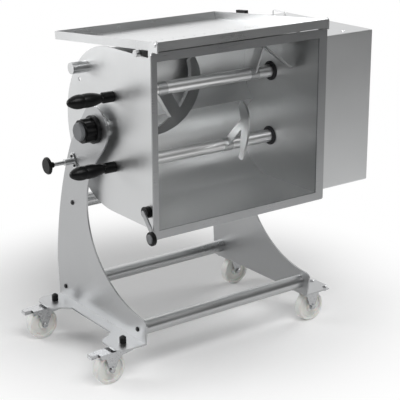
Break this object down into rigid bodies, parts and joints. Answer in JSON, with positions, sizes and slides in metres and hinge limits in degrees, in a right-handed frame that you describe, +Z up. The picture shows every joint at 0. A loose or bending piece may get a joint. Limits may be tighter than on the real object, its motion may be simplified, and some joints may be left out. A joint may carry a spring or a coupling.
{
  "type": "tilting paddle mixer",
  "caption": "Tilting meat mixer: a steel tub with counter-turning paddle shafts, swing-back lid and enclosed drive on a wheeled stand with braked castors",
  "frame": {"origin": "centre of the footprint's bounding box, on the floor", "axes": "+X along the paddle shafts to the drive, +Y from the mouth to the back as shown tipped, +Z up"},
  "size_m": [0.988, 0.614, 0.999],
  "materials": {
    "satin_stainless": "satin ground stainless sheet and tube",
    "turned_stainless": "turned or polished stainless",
    "castor_steel": "pressed stainless castor sheet",
    "white_nylon": "moulded white nylon",
    "black_plastic": "moulded black plastic",
    "grey_plastic": "moulded grey plastic cap",
    "black_screw": "blackened steel screw",
    "black_rubber": "black lip seal",
    "gear_steel": "hobbed gear steel, oiled",
    "bearing_bronze": "bearing bronze",
    "motor_paint": "grey machine enamel"
  },
  "bodies": {
    "stand": {"leg_left": "satin_stainless", "leg_right": "satin_stainless", "cross_tubes": "satin_stainless", "tube_plugs": "turned_stainless", "leg_screws": "black_screw", "pivot_bush_left": "black_plastic", "pivot_bush_right": "black_plastic", "plunger_body": "turned_stainless", "castor_caps": "black_plastic", "swivel_heads": "castor_steel", "fixed_forks": "castor_steel", "castor_plate_bolts": "turned_stainless"},
    "plunger": {"plunger_pin": "turned_stainless", "plunger_knob": "black_plastic"},
    "clamp": {"clamp_knob": "black_plastic", "clamp_cap": "grey_plastic"},
    "castor_front": {"fork_front": "castor_steel"},
    "castor_rear": {"fork_rear": "castor_steel"},
    "pedal_front": {"brake_pedal_front": "castor_steel"},
    "pedal_rear": {"brake_pedal_rear": "castor_steel"},
    "wheel_1": {"wheel_left_front": "white_nylon"},
    "wheel_2": {"wheel_left_rear": "white_nylon"},
    "wheel_3": {"wheel_right_front": "white_nylon"},
    "wheel_4": {"wheel_right_rear": "white_nylon"},
    "tub": {"end_plate_left": "satin_stainless", "end_plate_right": "satin_stainless", "trough": "satin_stainless", "mouth_rim": "satin_stainless", "trunnions": "satin_stainless", "studs": "satin_stainless", "lid_hinges": "satin_stainless", "handle_ends": "black_plastic", "handle_arm": "satin_stainless", "handle_cap": "grey_plastic", "pull_collars": "black_plastic", "shaft_seals": "black_rubber", "shaft_bearings": "bearing_bronze", "drive_frame": "satin_stainless", "motor_hood": "satin_stainless", "hood_screws": "turned_stainless", "tub_spacers": "satin_stainless", "gearmotor": "motor_paint", "cord_gland": "black_plastic", "wire_loop": "turned_stainless"},
    "shaft_high": {"upper_shaft": "turned_stainless", "upper_paddles": "turned_stainless", "upper_gear": "gear_steel"},
    "shaft_low": {"lower_shaft": "turned_stainless", "lower_paddles": "turned_stainless", "lower_gear": "gear_steel"},
    "pinion": {"motor_pinion": "gear_steel"},
    "pull_high": {"pull_pin_upper": "turned_stainless", "pull_grip_upper": "black_plastic"},
    "pull_low": {"pull_pin_lower": "turned_stainless", "pull_grip_lower": "black_plastic"},
    "lid": {"lid_pan": "satin_stainless", "lid_handle": "turned_stainless", "lid_screws": "turned_stainless", "interlock": "black_plastic"}
  },
  "joints": [
    {"name": "tub_tilt", "type": "hinge", "parent": "stand", "child": "tub", "pos_m": [0, 0, 0.701], "axis": [1, 0, 0], "range_deg": [-90, 0]},
    {"name": "lid_swing", "type": "hinge", "parent": "tub", "child": "lid", "pos_m": [0, -0.289, 0.988], "axis": [1, 0, 0], "range_deg": [0, 274.9]},
    {"name": "clamp_turn", "type": "hinge", "parent": "tub", "child": "clamp", "pos_m": [-0.36, 0, 0.701], "axis": [1, 0, 0], "range_deg": [0, 270]},
    {"name": "plunger_slide", "type": "slide", "parent": "stand", "child": "plunger", "axis": [1, 0, 0], "range_m": [0, 0.01]},
    {"name": "shaft_high_spin", "type": "hinge", "parent": "tub", "child": "shaft_high", "pos_m": [0, -0.0585, 0.805], "axis": [1, 0, 0], "continuous": true},
    {"name": "shaft_low_spin", "type": "hinge", "parent": "tub", "child": "shaft_low", "pos_m": [0, -0.0585, 0.597], "axis": [1, 0, 0], "continuous": true},
    {"name": "pinion_spin", "type": "hinge", "parent": "tub", "child": "pinion", "pos_m": [0.3, 0.0715, 0.805], "axis": [1, 0, 0], "continuous": true},
    {"name": "pull_high_slide", "type": "slide", "parent": "tub", "child": "pull_high", "axis": [-1, 0, 0], "range_m": [0, 0.04]},
    {"name": "pull_low_slide", "type": "slide", "parent": "tub", "child": "pull_low", "axis": [-1, 0, 0], "range_m": [0, 0.04]},
    {"name": "swivel_front", "type": "hinge", "parent": "stand", "child": "castor_front", "pos_m": [-0.38, -0.197, 0.1], "axis": [0, 0, 1], "continuous": true},
    {"name": "pedal_front_press", "type": "hinge", "parent": "castor_front", "child": "pedal_front", "pos_m": [-0.456, -0.197, 0.0935], "axis": [0, 1, 0], "range_deg": [-10, 0]},
    {"name": "swivel_rear", "type": "hinge", "parent": "stand", "child": "castor_rear", "pos_m": [-0.38, 0.197, 0.1], "axis": [0, 0, 1], "continuous": true},
    {"name": "pedal_rear_press", "type": "hinge", "parent": "castor_rear", "child": "pedal_rear", "pos_m": [-0.456, 0.197, 0.0935], "axis": [0, 1, 0], "range_deg": [-10, 0]},
    {"name": "roll_left_front", "type": "hinge", "parent": "castor_front", "child": "wheel_1", "pos_m": [-0.43, -0.197, 0.048], "axis": [0, 1, 0], "continuous": true},
    {"name": "roll_left_rear", "type": "hinge", "parent": "castor_rear", "child": "wheel_2", "pos_m": [-0.43, 0.197, 0.048], "axis": [0, 1, 0], "continuous": true},
    {"name": "roll_right_front", "type": "hinge", "parent": "stand", "child": "wheel_3", "pos_m": [0.333, -0.197, 0.048], "axis": [0, 1, 0], "continuous": true},
    {"name": "roll_right_rear", "type": "hinge", "parent": "stand", "child": "wheel_4", "pos_m": [0.333, 0.197, 0.048], "axis": [0, 1, 0], "continuous": true}
  ],
  "couplings": [
    {"joint": "shaft_low_spin", "follows": "shaft_high_spin", "ratio": -1},
    {"joint": "pinion_spin", "follows": "shaft_high_spin", "ratio": -4}
  ]
}
